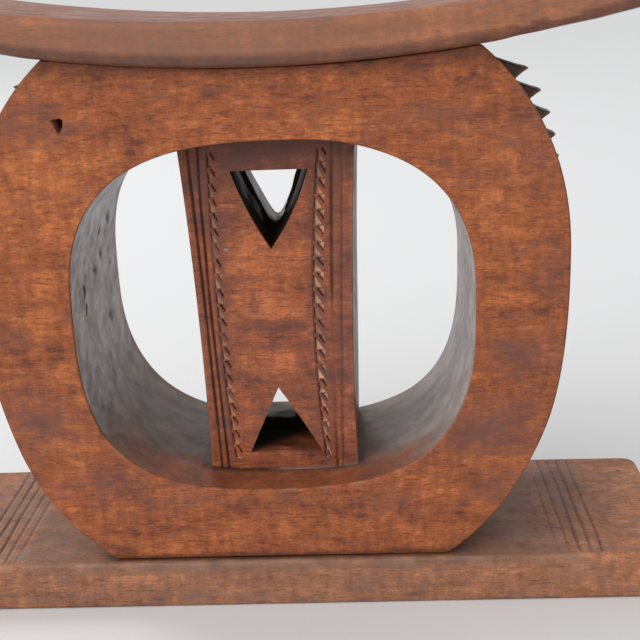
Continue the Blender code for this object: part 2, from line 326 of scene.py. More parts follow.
def ring_section():
    """The ring's section: share (0 at its outline, 1 at its opening), offset, y, then if wall or side."""
    rows = []

    def add_corner(share, offset, face, inwards, leaves_side):
        for angle in np.linspace(0.0, math.pi / 2, RING_ROUND_STEPS):
            turns = (1 - math.cos(angle), 1 - math.sin(angle))
            across, deep = turns if leaves_side else turns[::-1]
            rows.append((share, offset * across, face + inwards * deep, 0, 0))

    def add_face(shares, face):
        for share in shares[1:-1]:
            rows.append((share, RING_OUTER_ROUND * (1 - share) - RING_INNER_ROUND * share, face, 0, 0))

    add_corner(0.0, RING_OUTER_ROUND, RING_FRONT, RING_OUTER_ROUND, True)
    add_face(np.linspace(0.0, 1.0, RING_FRONT_STEPS), RING_FRONT)
    add_corner(1.0, -RING_INNER_ROUND, RING_FRONT, RING_INNER_ROUND, False)
    for y in np.linspace(RING_FRONT + RING_INNER_ROUND, RING_BACK - RING_INNER_ROUND, RING_WALL_STEPS)[1:-1]:
        rows.append((1.0, 0.0, y, 1, 0))
    add_corner(1.0, -RING_INNER_ROUND, RING_BACK, -RING_INNER_ROUND, True)
    add_face(np.linspace(1.0, 0.0, RING_BACK_STEPS), RING_BACK)
    add_corner(0.0, RING_OUTER_ROUND, RING_BACK, -RING_OUTER_ROUND, False)
    for y in np.linspace(RING_BACK - RING_OUTER_ROUND, RING_FRONT + RING_OUTER_ROUND, RING_SIDE_STEPS)[1:-1]:
        rows.append((0.0, 0.0, y, 0, 1))
    return np.array(rows)


def loop_normals(points):
    """Normals of a closed line of (x, z) points, to its left."""
    along = np.roll(points, -1, axis=0) - np.roll(points, 1, axis=0)
    along /= np.linalg.norm(along, axis=1)[:, None]
    return np.stack([-along[:, 1], along[:, 0]], axis=1)


def outward_normals(points):
    """Normals of a closed line round the middle, all pointing away from it."""
    normals = loop_normals(points)
    return normals * np.sign(np.sum(normals * points, axis=1))[:, None]


def wobble(points, amount, size, seed):
    """Push the points of a closed line in and out a little, as a hand-cut outline is."""
    flat = np.column_stack([points[:, 0], np.zeros(len(points)), points[:, 1]])
    return points + loop_normals(points) * (lumps(flat, size, seed) * amount)[:, None]


# Deep nicks of the gouge on the left wall: y and height in mm, then length, width, tilt and depth
LEFT_NICKS = ((16.0, 22.0, 12.0, 4.2, 2.1, 1.1), (5.5, 18.3, 4.5, 3.4, 1.2, 0.9),
              (-15.5, 5.3, 4.0, 2.8, 0.6, 1.0), (-15.0, 0.0, 3.6, 2.8, 0.3, 0.8),
              (-2.0, 9.0, 9.0, 3.0, 1.9, 0.7), (12.0, -8.0, 11.0, 3.2, 2.0, 0.8),
              (8.0, 12.0, 6.0, 3.5, 2.4, 0.6))
SMALL_NICKS = 60


def nicks(along, y, perimeter, marks):
    """Depth of teardrop cuts, each (middle along, y, length, width, tilt, depth)."""
    depth = np.zeros(along.shape)
    for middle, middle_y, length, width, tilt, deep in marks:
        step = (along - middle + perimeter / 2) % perimeter - perimeter / 2
        rise = y - middle_y
        u = (step * math.cos(tilt) + rise * math.sin(tilt)) / length + 0.5
        v = rise * math.cos(tilt) - step * math.sin(tilt)
        inside = held(u)
        half = width / 2 * np.sqrt(inside) + 1e-6
        bowl = held(1.0 - (v / half) ** 2)
        end = held((1.0 - u) * 5.0) * (u > 0.0)
        depth = np.maximum(depth, deep * inside ** 0.7 * bowl * end)
    return depth


def nick_marks(inner, travelled, perimeter):
    """The nicks of the opening's wall: the deep ones on its left, and small ones strewn over it."""
    random = np.random.RandomState(17)
    marks = []
    for y, height, length, width, tilt, deep in LEFT_NICKS:
        miss = np.where(inner[:, 0] < 0.0, np.abs(inner[:, 1] - height * MM), 1.0)
        middle = travelled[int(np.argmin(miss))]
        marks.append((middle, y * MM, length * MM, width * MM, tilt, deep * MM))
    for _ in range(SMALL_NICKS):
        middle = random.uniform(0.0, perimeter)
        height = np.interp(middle, travelled, inner[:, 1])
        deep = random.uniform(0.12, 0.42) * (0.35 if height < -30 * MM else 1.0)
        marks.append((middle, random.uniform(RING_FRONT + 4 * MM, RING_BACK - 3 * MM),
                      random.uniform(5.0, 13.0) * MM, random.uniform(2.2, 4.4) * MM,
                      random.uniform(1.0, 2.3), deep * MM))
    return marks


def make_ring():
    outer = wobble(ring_outline(RING_STATIONS), 0.22 * MM, 30 * MM, 3)
    front = wobble(opening_edge(outer[:, 0], outer[:, 1], OPENING_FRONT), 0.2 * MM, 17 * MM, 4)
    back = wobble(opening_edge(outer[:, 0], outer[:, 1], OPENING_BACK), 0.3 * MM, 17 * MM, 5)
    share, offset, depth, wall, side = ring_section().T
    through = through_ring(depth)[None, :, None]
    inner = front[:, None, :] * (1.0 - through) + back[:, None, :] * through
    across = inner - outer[:, None, :]
    thickness = np.linalg.norm(across, axis=2)
    direction = across / thickness[:, :, None]
    inward = -outward_normals(front)        # from the wood into the opening
    steps = np.linalg.norm(np.roll(front, -1, axis=0) - front, axis=1)
    travelled = np.concatenate([[0.0], np.cumsum(steps)[:-1]])
    perimeter = float(steps.sum())

    reach = share[None, :] * thickness + offset[None, :]
    place = outer[:, None, :] + direction * reach[:, :, None]
    y = np.broadcast_to(depth[None, :], reach.shape).copy()

    along = np.broadcast_to(travelled[:, None], reach.shape)
    from_edge = np.minimum(depth - RING_FRONT, RING_BACK - depth)
    fade = wall * ease(from_edge, 0.5 * MM, 4.0 * MM)
    bowls = scoops(along, y, 11.0 * MM, 4.5 * MM, 1.25, 11)
    smooth = 0.3 + 0.7 * ease(front[:, 1], -46 * MM, -20 * MM)
    small = nicks(along, y, perimeter, nick_marks(front, travelled, perimeter))
    dig = (0.26 * MM * bowls * smooth[:, None] + small) * fade[None, :]
    place -= inward[:, None, :] * dig[:, :, None]

    x, z = place[:, :, 0], place[:, :, 1]
    around = cloud(x, y, z)
    facets = scoops(np.arctan2(z, x) * RING_HALF_WIDTH, y, 16 * MM, 9 * MM, 0.2, 15)
    side_dig = 0.22 * MM * facets * side[None, :]
    place -= outward_normals(outer)[:, None, :] * side_dig[:, :, None]
    face = (np.abs(y - RING_FRONT) < 0.05 * MM) | (np.abs(y - RING_BACK) < 0.05 * MM)
    ripple = lumps(around, 17 * MM, 16).reshape(x.shape) * 0.10 * MM
    y += np.where(face, np.sign(-y) * np.abs(ripple), 0.0)

    faces = grid_faces(RING_STATIONS, len(depth), True, True)
    ring = add_mesh("carved_ring", cloud(x, y, MIDDLE + z), faces)
    outward(ring)
    cut(ring, hole_cutter())
    paint_ring(ring)
    return ring


HOLE = (-53.3, 54.9)            # middle of the ragged hole, in mm
HOLE_OUTLINE = ((-1.9, 1.15), (-1.2, 1.6), (-0.1, 1.85), (0.9, 1.7), (1.45, 1.1), (1.4, 0.3), (1.1, -0.6),
                (0.8, -1.5), (0.4, -2.1), (-0.1, -2.3), (-0.5, -1.8), (-0.8, -0.8), (-1.2, 0.3))


def hole_cutter():
    """The small ragged hole near the ring's upper left edge: a crooked cone that points into the wood."""
    layers = ((-2.0, 1.45, 0.0), (0.0, 1.0, 0.0), (0.8, 0.82, 0.15), (2.0, 0.6, 0.4), (5.0, 0.35, 0.6))
    vertices = []
    for depth, size, drift in layers:
        for number, (x, z) in enumerate(HOLE_OUTLINE):
            ragged = 1.0 + 0.07 * math.sin(number * 2.4 + depth)
            vertices.append(((HOLE[0] + x * size * ragged + drift) * MM, RING_FRONT + depth * MM,
                             MIDDLE + (HOLE[1] + z * size * ragged + drift) * MM))
    return capped_tube("hole_cutter", vertices, len(layers))


def blobs(x, z, marks):
    """Soft-edged patches, each (x, z, half width, half height, strength) in mm."""
    total = np.zeros(len(x))
    for middle_x, middle_z, wide, tall, strength in marks:
        away = ((x / MM - middle_x) / wide) ** 2 + ((z / MM - middle_z) / tall) ** 2
        total = np.maximum(total, strength * np.exp(-away))
    return total


# Where old polish has darkened the ring's front, and where it glows through
PATINA = ((70, 44, 16, 12, 0.35), (58, -32, 15, 9, 0.85), (69, -11, 10, 6, 0.75), (-66, -26, 12, 10, 0.6),
          (-48, -45, 13, 6, 0.5), (-70.5, -2.6, 5, 3, 0.5), (46, 54, 13, 3, 0.45), (1, -50.5, 3, 1.5, 0.8),
          (62, -48, 8, 6, 0.6),
          (-60, 56, 10, 5, 0.5), (74, 12, 4, 9, 0.5), (-30, -52, 9, 2.5, 0.5), (30, -53, 8, 2.5, 0.5))
GLOW = ((-58, 38, 13, 14, 0.7), (62, 32, 9, 12, 0.6), (15, 52.5, 24, 3.5, 0.7), (-64, 12, 8, 12, 0.5),
        (-58, -34, 6, 5, 0.5), (45, -47, 7, 4, 0.5), (-20, 54, 14, 3, 0.4))


def set_layers(placed, **values):
    """Store every layer that the woods read, with zeros where none is given."""
    count = len(placed.data.vertices)
    for name in ("stain", "soot", "matte", "raw", "wear", "grime", "dust", "patina", "glow"):
        paint(placed, name, held(values.get(name, np.zeros(count))))


def paint_ring(ring):
    points = positions(ring)
    x, y, z = points[:, 0], points[:, 1], points[:, 2] - MIDDLE
    through = through_ring(y)[:, None]
    edge = opening_edge(x, z, OPENING_FRONT) * (1 - through) + opening_edge(x, z, OPENING_BACK) * through
    centre = np.array(OPENING_FRONT[:2]) * MM
    beyond = np.linalg.norm(np.column_stack([x, z]) - centre, axis=1) - np.linalg.norm(edge - centre, axis=1)
    inside = (y > RING_FRONT + 0.3 * MM) & (y < RING_BACK - 0.3 * MM) & (beyond < 1.8 * MM)
    lump = lumps(points, 9 * MM, 21)
    under = ease(-z, 30 * MM, 47 * MM)
    # Painted light on the opening's walls: a lit band across the front of its floor, and a lighter right wall,
    # both taken out of the dark stain.
    front_floor = under * (1 - ease(y + 5 * MM * lump, RING_FRONT + 9 * MM, RING_FRONT + 24 * MM))
    stain = np.where(inside, (1.0 - 0.85 * front_floor) * (1.0 - 0.30 * ease(x, 20 * MM, 45 * MM)), 0.0)
    hollow = (np.abs(x / MM - HOLE[0]) < 2.6) & (np.abs(z / MM - HOLE[1]) < 3.0) & (beyond > 2.5 * MM)
    hollow &= (y > RING_FRONT + 0.25 * MM) & (y < RING_FRONT + 6 * MM)
    side = (beyond > 6 * MM) & (np.abs(y) < -RING_FRONT - 0.3 * MM)
    # Painted shade, as darker wood: where the ring stands on the base, under the platform, on the opening's
    # floor around the column's foot, and on the outer rim of its front, more on the right. The ring's outer
    # sides are darker too.
    near_base = 1.0 - ease(z - RING_FOOT, 0.0, 2.5 * MM)
    near_top = ease(z, 64 * MM, 69 * MM) * 0.6
    grime = np.maximum(near_base * (0.6 + 0.4 * lump), near_top)
    grime = np.where(side, np.maximum(grime, 0.3), grime)
    beside = (np.abs(x) < 24 * MM) & (y > COLUMN_FRONT - 3 * MM) & inside & (z < 0.0)
    grime = np.where(beside, np.maximum(grime, 0.55 * ease(y, COLUMN_FRONT - 3 * MM, COLUMN_FRONT)), grime)
    outer_rim = (1.0 - ease(ring_side(z) - np.abs(x), 0.15 * MM, 0.75 * MM)) * (y < RING_FRONT + 1.0 * MM)
    grime = np.maximum(grime, outer_rim * np.where(x > 0.0, 0.5, 0.2))
    # Painted shade inside the small hole, lighter on its left.
    grime = np.where(hollow, 0.8 - 0.5 * ease(-x / MM, -HOLE[0] - 0.6, -HOLE[0] + 1.2), grime)
    rim = 1.0 - ease(np.abs(beyond), 0.25 * MM, 0.9 * MM)
    rim *= 1.0 - ease(y - RING_FRONT, 0.4 * MM, 1.0 * MM)
    worn = rim * ease(-z, 12 * MM, 44 * MM) * ease(lumps(points, 3 * MM, 22), 0.0, 0.5)
    front = (y < RING_FRONT + 0.5 * MM) | (y > RING_BACK - 0.5 * MM)
    # Painted sheen: the opening's right wall and the upper part of its left wall are lightened towards pale
    # grey, except on the lit front of its floor.
    dry = ease(x, 12 * MM, 42 * MM) + 0.4 * ease(-x, 20 * MM, 40 * MM) * ease(z, 5 * MM, 30 * MM)
    dry = np.where(inside, dry * (1.0 - front_floor) * (0.8 + 0.2 * lump), 0.0)
    set_layers(ring, stain=stain, dust=dry, grime=grime, wear=worn * 0.45,
               patina=np.where(front, blobs(x, z, PATINA), 0.2), glow=np.where(front, blobs(x, z, GLOW), 0.0))


# ---------------------------------------------------------------- column

# Lines down the column's face, in mm: place at the middle of its height, lean and bow per cm of height, half
# width and depth
EDGES = {-1: (-22.15, -0.42, -0.035), 1: (21.5, 0.20, 0.04)}
CUTS = {-1: ((-19.95, -0.46, -0.01, 0.42, 0.75), (-18.4, -0.37, 0.03, 0.42, 0.75)),
        1: ((15.85, 0.15, 0.03, 0.62, 0.6), (18.45, 0.28, 0.01, 0.45, 0.3))}
BANDS = {-1: ((-16.7, -0.34, 0.06), (-14.35, -0.35, 0.05)),
         1: ((10.43, 0.08, 0.12), (13.4, 0.19, 0.07))}
NOTCH_PITCH = {-1: (4.25, -44.6), 1: (4.42, -47.3)}     # in mm, and where the lowest notch starts
NOTCH_REACH = 45.0      # mm above and below the middle
NOTCH_DEPTH = 1.05
NOTCH_WALL = 0.16       # how far a stabbed wall leans, in mm


def track(line, height):
    """Place across the face, in mm, of one of the lines at a height in mm from the middle."""
    raised = height / 10.0
    return line[0] + line[1] * raised + line[2] * raised ** 2


def notches(place, height, side):
    """The paired three-sided chips of a band: depth in mm, how fresh the cut is, and how dark the painted
    shadow in it is.
    """
    left, right = (track(line, height) for line in BANDS[side])
    width = right - left
    pitch, start = NOTCH_PITCH[side]
    unit = (height - start) / pitch + line_lumps(height, 9.0, 60 + side) * 0.08
    number = np.floor(unit).astype(np.int64)
    random = np.random.RandomState(62 + side).uniform(0.0, 1.0, (128, 4))[np.clip(number, 0, 127)]
    tall = pitch - 0.35
    up = (unit - number) * pitch - 0.2
    across = place - left
    inside = (across > 0) & (across < width) & (np.abs(height) < NOTCH_REACH) & (up > 0) & (up < tall)
    share = across / width
    rise = up / tall
    # Lower left chip: stabbed straight down along its left side, rising to its slanting side
    reach = 0.80 * held(1.0 - rise / 0.86) + 0.01
    low_facet = held(1.0 - (share - 0.06) / reach) * (0.7 + 0.3 * random[:, 0])
    low_wall = np.minimum(across - 0.06 * width, up) / NOTCH_WALL
    low_chip = held(np.minimum(low_facet, low_wall))
    # Painted shadow against the stabbed left wall of the lower chip.
    low_dark = held(1.0 - (across - 0.06 * width) / 0.40)
    # Upper right chip: stabbed along its slanting side, rising to the upper right
    past = ((share - 0.36) * 0.62 + (rise - 1.0) * 0.62) / 0.877
    high_facet = held(1.0 - past / 0.46) * (0.7 + 0.3 * random[:, 1])
    to_edge = np.minimum(past * 1.2, np.minimum(1.0 - share, (1.0 - rise) * 1.4))
    high_wall = to_edge * width / NOTCH_WALL
    high_chip = held(np.where((past > 0.0) & (rise > 0.40), np.minimum(high_facet, high_wall), 0.0))
    # Painted shadow against the stabbed slanting wall of the upper chip.
    high_dark = held(1.0 - past * width * 1.2 / 0.52)
    first = low_chip >= high_chip
    chip = np.where(first, low_chip, high_chip)
    dark = np.where(first, low_dark, high_dark) * (chip > 0.02)
    chip = np.where(inside, np.where(random[:, 2] < 0.10, chip * 0.4, chip), 0.0)
    fresh = ease(chip, 0.01, 0.05) * (1.0 - ease(dark, 0.2, 0.8)) * (0.6 + 0.4 * random[:, 3])
    fresh = fresh * np.where(first | (side > 0), 1.0, 0.45)
    return chip * NOTCH_DEPTH, fresh, np.where(inside, ease(dark, 0.2, 0.9), 0.0)


def column_relief(place, height):
    """How deep the column's face is cut, in mm, how much of it is fresh-cut, and how much is darkened: in its
    grooves, and by painted shadow in the notches and along the stabbed edges of the bands.
    """
    depth = np.zeros(len(height))
    raw = np.zeros(len(height))
    grime = np.zeros(len(height))
    for side in (-1, 1):
        for number, cut_line in enumerate(CUTS[side]):
            half, cut_depth = cut_line[3:]
            stray = line_lumps(height, 16.0, 40 + number + side) * 0.12
            firm = 0.85 + 0.15 * line_lumps(height, 7.0, 50 + number)
            if side > 0 and number == 0:
                firm = firm * (0.35 + 0.65 * ease(height, -4.0, 8.0) + 0.5 * ease(-height, 30.0, 40.0))
            groove = held(1.0 - np.abs(place - track(cut_line, height) - stray) / half)
            depth = np.maximum(depth, groove * cut_depth * firm)
            # The grooves are darkened, more where they are cut deeper.
            dirt = held(groove * 1.5) * held(cut_depth * firm * 1.5)
            grime = np.maximum(grime, dirt)
        chips, fresh, dark = notches(place, height, side)
        left = track(BANDS[side][0], height)
        # Each band's stabbed left edge: a narrow cut with a dark line painted as its shadow.
        stab = held(1.0 - np.abs(place - left + 0.05) / 0.22)
        stab = stab * (np.abs(height) < NOTCH_REACH) * (0.75 if side > 0 else 0.5)
        depth = np.maximum(depth, np.maximum(chips, stab * 0.4))
        raw = np.maximum(raw, fresh * (1.0 if side > 0 else 0.6))
        grime = np.maximum(grime, np.maximum(stab * 0.9, dark * 0.95))
    return depth, raw, grime


def face_lines(height):
    """Where the mesh lines of the column's face run at each height, in mm, dense along the cuts."""
    left = track(EDGES[-1], height) - 0.006 * np.clip(height - 8.0, 0.0, None) ** 1.5 * 0.1
    right = track(EDGES[1], height) + 0.5 * ease(-height, 30.0, 46.0) * 0.6
    lines = [left + step for step in (0.0, 0.3, 0.8)]
    for cut_line in CUTS[-1]:
        middle = track(cut_line, height)
        lines += [middle + cut_line[3] * step for step in (-1.35, -0.6, 0.0, 0.6, 1.35)]
    for side in (-1, 1):
        start, end = (track(line, height) for line in BANDS[side])
        start = start - 0.35
        end = end + 0.15
        lines += [start + (end - start) * share for share in np.linspace(0.0, 1.0, 17)]
        if side < 0:
            next_start = track(BANDS[1][0], height) - 0.35
            lines += [end + step for step in (0.5, 0.8, 1.1, 1.4, 1.7, 2.0)]
            lines += [end + (next_start - end) * share for share in np.linspace(0.0, 1.0, 11)[1:-1]]
    for cut_line in CUTS[1]:
        middle = track(cut_line, height)
        lines += [middle + cut_line[3] * step for step in (-1.3, -0.6, 0.0, 0.6, 1.3)]
    lines += [right - step for step in (0.8, 0.3, 0.0)]
    return np.stack(lines, axis=1)


def make_column():
    row_share = np.linspace(0.0, 1.0, COLUMN_ROWS)
    row_height = COLUMN_BOTTOM + COLUMN_TALL * row_share
    front = face_lines(row_height) * MM
    left, right = front[:, 0], front[:, -1]
    back_left = left + 0.3 * MM
    back_right = (22.7 + 0.018 * row_height + 0.0005 * np.clip(row_height - 10.0, 0.0, None) ** 2) * MM
    across = (front - left[:, None]) / (right - left)[:, None]
    back = back_left[:, None] + across * (back_right - back_left)[:, None]
    steps = np.linspace(0.0, 1.0, COLUMN_SIDE_STEPS)
    right_side = right[:, None] + (back_right - right)[:, None] * steps
    left_side = left[:, None] + (back_left - left)[:, None] * steps
    depth_steps = COLUMN_FRONT + COLUMN_ROUND + (COLUMN_BACK - COLUMN_FRONT - 2 * COLUMN_ROUND) * steps
    x = np.hstack([front, right_side, back[:, ::-1], left_side[:, ::-1]])
    wide = front.shape[1]
    level = np.zeros(COLUMN_SIDE_STEPS)
    face = np.concatenate([np.full(wide, -1), level, np.full(wide, 1), level])
    rim_y = np.concatenate([np.full(wide, COLUMN_FRONT), depth_steps,
                            np.full(wide, COLUMN_BACK), depth_steps[::-1]])
    y = np.broadcast_to(rim_y[None, :], x.shape).copy()
    low = opening_level(x, y, -1) - COLUMN_SINK
    high = opening_level(x, y, 1) + COLUMN_SINK
    z = low + (high - low) * row_share[:, None]

    # Take the sharpness off the four long edges
    for place, inwards in ((0, 1.0), (wide - 1, -1.0)):
        for index in (place, 2 * wide + COLUMN_SIDE_STEPS - 1 - place):
            x[:, index] += inwards * COLUMN_ROUND * 0.6

    def given(row_values):
        """One value of each row, given to all of its points."""
        return np.broadcast_to(row_values[:, None], x.shape).ravel()

    # Behind, the lines keep their shares of the face's width
    share = np.broadcast_to(face[None, :], x.shape).ravel()
    on_face = share != 0
    moved = given(left) + (x.ravel() - given(back_left)) * given(right - left) / given(back_right - back_left)
    place = np.where(share > 0, moved, x.ravel())
    depth = np.where(on_face, column_relief(place / MM, z.ravel() / MM)[0], 0.0)
    around = cloud(x, y, z)
    ripple = np.abs(lumps(around, 12 * MM, 31)) * 0.10
    y = y.ravel() - share * (depth + np.where(on_face, ripple, 0.0)) * MM
    hewn = scoops(around[:, 1], around[:, 2], 7 * MM, 14 * MM, 0.2, 32) * 0.15 * MM
    edge_fade = ease(np.minimum(y - COLUMN_FRONT, COLUMN_BACK - y), 0.5 * MM, 3.0 * MM)
    x = x.ravel() - np.sign(x.ravel()) * np.where(on_face, 0.0, hewn) * edge_fade
    column = capped_tube("carved_column", cloud(x, y, MIDDLE + z), COLUMN_ROWS)
    cut(column, tunnel_cutter("upper_tunnel", UPPER_TUNNEL))
    cut(column, tunnel_cutter("lower_tunnel", LOWER_TUNNEL))
    paint_column(column)
    return column


# The two tunnels' corners in mm at the front and at the back, each with the bow of the side that follows it
UPPER_TUNNEL = (((-11.15, 39.25, 0.0), (10.55, 39.25, 1.1), (-0.6, 17.2, 0.75)),
                ((-13.2, 39.25, 0.0), (6.6, 39.25, 1.2), (-1.7, 16.4, 0.2)))
LOWER_TUNNEL = (((11.55, -43.2, 0.0), (-9.4, -42.9, 0.0), (-0.5, -23.3, 0.3)),
                ((9.8, -44.8, 0.0), (-9.8, -44.8, 0.0), (-0.8, -23.6, 0.4)))


def tunnel_outline(corners, sides=14):
    """A three-sided outline whose sides bow outwards, with slightly rounded corners."""
    outline = []
    points = np.array([corner[:2] for corner in corners])
    centre = points.mean(axis=0)
    for number, corner in enumerate(corners):
        start = points[number]
        end = points[(number + 1) % 3]
        along = end - start
        normal = np.array([along[1], -along[0]]) / np.linalg.norm(along)
        if np.dot(normal, start + along / 2 - centre) < 0:
            normal = -normal
        for share in np.linspace(0.0, 1.0, sides, endpoint=False):
            outline.append(start + along * share + normal * corner[2] * 4 * share * (1 - share))
    return np.array(outline)


def tunnel_cutter(name, ends):
    front = tunnel_outline(ends[0])
    back = tunnel_outline(ends[1])
    count = len(front)
    # The knife leaves the back's corners rounder than the front's
    soft = back.copy()
    for _ in range(4):
        soft = (np.roll(soft, 1, axis=0) + soft * 2 + np.roll(soft, -1, axis=0)) / 4
    tunnel_layers = np.linspace(COLUMN_FRONT - 2 * MM, COLUMN_BACK + 2 * MM, 60)
    vertices = []
    for y in tunnel_layers:
        share = float(held((y - COLUMN_FRONT) / (COLUMN_BACK - COLUMN_FRONT)))
        outline = front * (1.0 - share) + soft * share
        flat = np.column_stack([outline[:, 0] * MM, np.full(count, y), outline[:, 1] * MM])
        ragged = lumps(flat, 5 * MM, 70) * 0.5 * float(ease(share, 0.02, 0.12) * (1 - ease(share, 0.9, 0.99)))
        spread = outline - outline.mean(axis=0)
        spread = spread * (1.0 + ragged / np.linalg.norm(spread, axis=1))[:, None] + outline.mean(axis=0)
        for x, z in spread:
            vertices.append((x * MM, y, MIDDLE + z * MM))
    return capped_tube(name, vertices, len(tunnel_layers))


COLUMN_PATINA = ((0, 44, 22, 8, 1.0), (-19, 34, 4, 14, 0.9), (-19, -8, 3, 20, 0.5), (-14, 20, 3, 22, 0.5),
                 (18, 30, 4, 20, 0.5), (-15.5, 0, 2.0, 60, 0.9), (12, 0, 2.2, 60, 0.9), (-10, 34, 5, 7, 0.5),
                 (-2, -4.8, 20, 2.2, 0.6), (-2.5, -10.8, 20, 1.0, 0.45),
                 (-20, 0, 2.2, 60, 0.5), (19, 0, 3.5, 60, 0.6), (0, -33, 9, 14, 0.45), (12, -30, 8, 16, 0.5),
                 (-14, 35, 5, 10, 0.4), (9, 36, 5, 6, 0.4), (0, -20, 18, 1.6, 0.4))
COLUMN_GLOW = ((-4, 14, 11, 10, 0.8), (8, 22, 3.5, 6, 0.5), (-3, 3, 11, 5, 0.7), (-3, -16, 9, 4, 0.35),
               (-10, -26, 3, 3, 0.4), (20, -6, 1.2, 20, 0.4), (0, -46, 11, 1.6, 0.3))
FLECK = (-13.15, 17.4, 0.62)      # x, z and size of the pale fleck, in mm


def paint_column(column):
    points = positions(column)
    x, y, z = points[:, 0], points[:, 1], points[:, 2] - MIDDLE
    left = track(EDGES[-1], z / MM) * MM
    right = track(EDGES[1], z / MM) * MM
    _, raw, grime = column_relief(x / MM, z / MM)
    out_face = np.minimum(y - COLUMN_FRONT, COLUMN_BACK - y) < 1.1 * MM
    scattered = 0.35 + 0.65 * ease(lumps(points, 3 * MM, 81), -0.45, 0.35)
    tunnel = (~out_face) & (x - left > 3 * MM) & (right - x > 3 * MM) & (np.abs(z) < 46.5 * MM)
    ragged = lumps(points, 4 * MM, 83)
    # Painted shade: the insides of the two tunnels are darkened nearly to black, fading to the stained wood
    # towards their back ends, where light comes through them.
    to_back = np.where((x > 1.0 * MM) & (z > 0.0), 40 * MM, 15.5 * MM)
    soot = 1.0 - ease(y + 3.5 * MM * ragged, to_back, to_back + 5 * MM)
    streak = np.exp(-((y + 2 * MM + 0.25 * (z - 30 * MM)) / (4.2 * MM)) ** 2) * ease(z, 20 * MM, 32 * MM)
    streak = streak * ease(lumps(points * (1.0, 0.35, 1.0), 2.2 * MM, 84), -0.8, 0.4)
    shiny = 0.016 * streak + 0.6 * (1.0 - soot) ** 2
    # A painted pool of light on the front of the lower tunnel's floor, where the painted shade and the stain
    # are left off.
    from_front = y - COLUMN_FRONT - (x + 5.6 * MM) * 1.15
    lit_floor = (1.0 - ease(from_front, 3.0 * MM, 9.0 * MM)) * (z < -40.5 * MM)
    soot = np.where(tunnel, soot * (1.0 - lit_floor), 0.0)
    stain = np.where(tunnel, 1.0 - lit_floor, 0.0)
    matte = np.where(tunnel, held(1.0 - shiny + lit_floor), 0.0)
    # Painted shade: darker along the seam at the column's foot, and under the ring's roof at its head.
    foot = 1.0 - ease(z - opening_level(x, y, -1), 0.0, 1.1 * MM)
    head = 1.0 - ease(opening_level(x, y, 1) - z, 1.0 * MM, 8.0 * MM)
    grime = np.where(out_face, grime, np.where(tunnel, 0.12 * lit_floor, 0.1))
    # A pale lip along the right half of the column's foot, painted as a highlight.
    dust = foot * ease(x, -6 * MM, 2 * MM) * out_face * (0.6 + 0.4 * ragged)
    grime = np.maximum(grime, np.maximum(foot * (1.0 - dust), head * 0.45))
    # Painted sheen: the column's right side is lightened towards pale grey, all but its lowest part.
    pale_side = (~out_face) & (~tunnel) & (x > 0.0)
    dust = np.where(pale_side, 0.5 * ease(z, -36 * MM, -22 * MM), dust)
    edge = 1.0 - ease(np.minimum(x - left, right - x), 0.1 * MM, 0.6 * MM)
    near = np.hypot((x / MM - FLECK[0]) / 1.3, z / MM - FLECK[1])
    dust = np.maximum(dust, out_face * (1.0 - ease(near, FLECK[2] * 0.5, FLECK[2])))
    set_layers(column, raw=np.where(out_face, raw * scattered, 0.0), grime=grime, stain=stain, soot=soot,
               matte=matte, dust=dust, wear=edge * 0.35 * ease(lumps(points, 6 * MM, 82), -0.2, 0.5),
               patina=np.where(out_face, blobs(x, z, COLUMN_PATINA), 0.3),
               glow=np.where(out_face, blobs(x, z, COLUMN_GLOW), 0.0))


# ---------------------------------------------------------------- boards

